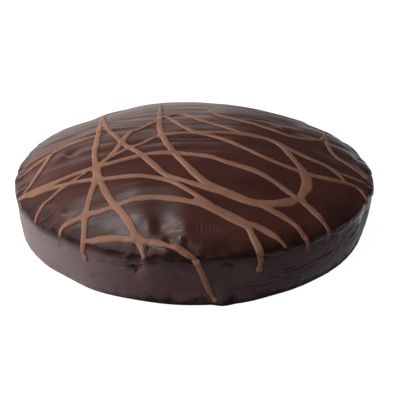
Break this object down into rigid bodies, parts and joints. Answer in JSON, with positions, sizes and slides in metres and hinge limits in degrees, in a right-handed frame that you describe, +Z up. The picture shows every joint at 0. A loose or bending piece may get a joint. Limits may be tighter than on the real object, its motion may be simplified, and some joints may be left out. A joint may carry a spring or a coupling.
{
  "type": "chocolate cake",
  "caption": "Whole round chocolate cake with a domed top and dark glaze, drizzled with crossing strands of lighter chocolate that run down over the rim.",
  "frame": {"origin": "middle of the cake's underside, on the table", "axes": "+Z up out of the domed top, -Y towards the front of the picture, +X to the right"},
  "size_m": [0.2186, 0.2207, 0.0608],
  "materials": {
    "chocolate_cake": "dark chocolate glaze, softly glossy, with satin milk chocolate drizzle in relief"
  },
  "bodies": {
    "root": {"chocolate_cake": "chocolate_cake"}
  },
  "joints": []
}
